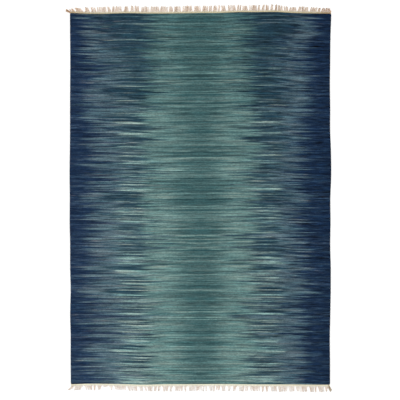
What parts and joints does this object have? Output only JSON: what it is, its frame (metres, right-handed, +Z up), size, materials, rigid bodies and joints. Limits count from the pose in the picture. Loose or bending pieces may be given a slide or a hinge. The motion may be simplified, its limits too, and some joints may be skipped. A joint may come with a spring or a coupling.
{
  "type": "kilim rug",
  "caption": "Flat woven wool floor rug, shaded by streaks from navy sides to a light teal middle, with firm selvedges and a short undyed cotton fringe at each end.",
  "frame": {"origin": "middle of the cloth's flat underside, on the floor", "axes": "+Y along the rug towards its top end, +X across it to the right seen from above, +Z up"},
  "size_m": [1.4391, 2.091, 0.0038],
  "materials": {
    "dyed_wool": "matte weft-faced flat weave, with streaks of navy, grey-blue and teal along the weft",
    "undyed_cotton": "matte twisted cotton yarn in its natural cream"
  },
  "bodies": {
    "root": {"rug_body": "dyed_wool", "fringe_top": "undyed_cotton", "fringe_bottom": "undyed_cotton"}
  },
  "joints": []
}
